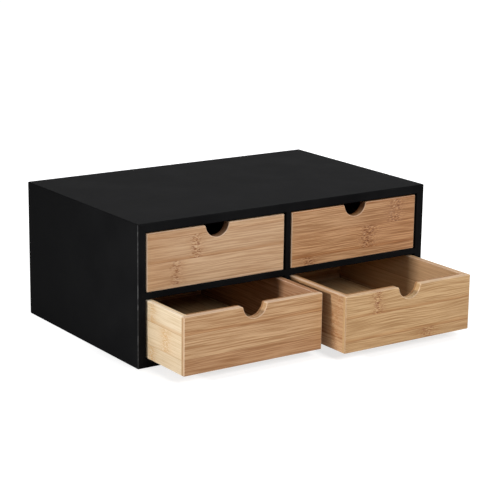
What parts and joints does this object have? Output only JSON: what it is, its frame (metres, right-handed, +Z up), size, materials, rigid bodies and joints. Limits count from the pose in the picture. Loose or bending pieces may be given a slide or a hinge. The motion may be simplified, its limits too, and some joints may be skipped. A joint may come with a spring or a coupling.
{
  "type": "desktop drawer organizer",
  "caption": "Small desktop chest: a black box-shaped case with a shelf and a divider, and bamboo drawers that slide out, each pulled by a half-round finger notch in its front.",
  "frame": {"origin": "middle of the underside of the case, where it rests on the desk", "axes": "+X across the chest to the right as seen from its open front, +Y from the open front to the back, +Z up; the drawers slide out towards -Y"},
  "size_m": [0.35, 0.3142, 0.143],
  "materials": {
    "case_paint": "fibreboard sprayed with smooth black satin paint",
    "case_back_board": "thin hardboard painted matt black",
    "bamboo": "laminated bamboo, sanded, clear matt lacquer",
    "drawer_base_board": "thin bamboo plywood, clear matt lacquer"
  },
  "bodies": {
    "case": {"top_panel": "case_paint", "bottom_panel": "case_paint", "left_side_panel": "case_paint", "right_side_panel": "case_paint", "back_panel": "case_back_board", "shelf": "case_paint", "divider": "case_paint"},
    "upper_left_drawer": {"upper_left_drawer_front": "bamboo", "upper_left_drawer_left_wall": "bamboo", "upper_left_drawer_right_wall": "bamboo", "upper_left_drawer_back": "bamboo", "upper_left_drawer_base": "drawer_base_board"},
    "upper_right_drawer": {"upper_right_drawer_front": "bamboo", "upper_right_drawer_left_wall": "bamboo", "upper_right_drawer_right_wall": "bamboo", "upper_right_drawer_back": "bamboo", "upper_right_drawer_base": "drawer_base_board"},
    "lower_left_drawer": {"lower_left_drawer_front": "bamboo", "lower_left_drawer_left_wall": "bamboo", "lower_left_drawer_right_wall": "bamboo", "lower_left_drawer_back": "bamboo", "lower_left_drawer_base": "drawer_base_board"},
    "lower_right_drawer": {"lower_right_drawer_front": "bamboo", "lower_right_drawer_left_wall": "bamboo", "lower_right_drawer_right_wall": "bamboo", "lower_right_drawer_back": "bamboo", "lower_right_drawer_base": "drawer_base_board"}
  },
  "joints": [
    {"name": "upper_left_drawer_slide", "type": "slide", "parent": "case", "child": "upper_left_drawer", "axis": [0, -1, 0], "range_m": [0, 0.16]},
    {"name": "upper_right_drawer_slide", "type": "slide", "parent": "case", "child": "upper_right_drawer", "axis": [0, -1, 0], "range_m": [0, 0.16]},
    {"name": "lower_left_drawer_slide", "type": "slide", "parent": "case", "child": "lower_left_drawer", "axis": [0, -1, 0], "range_m": [-0.066, 0.094]},
    {"name": "lower_right_drawer_slide", "type": "slide", "parent": "case", "child": "lower_right_drawer", "axis": [0, -1, 0], "range_m": [-0.091, 0.069]}
  ]
}
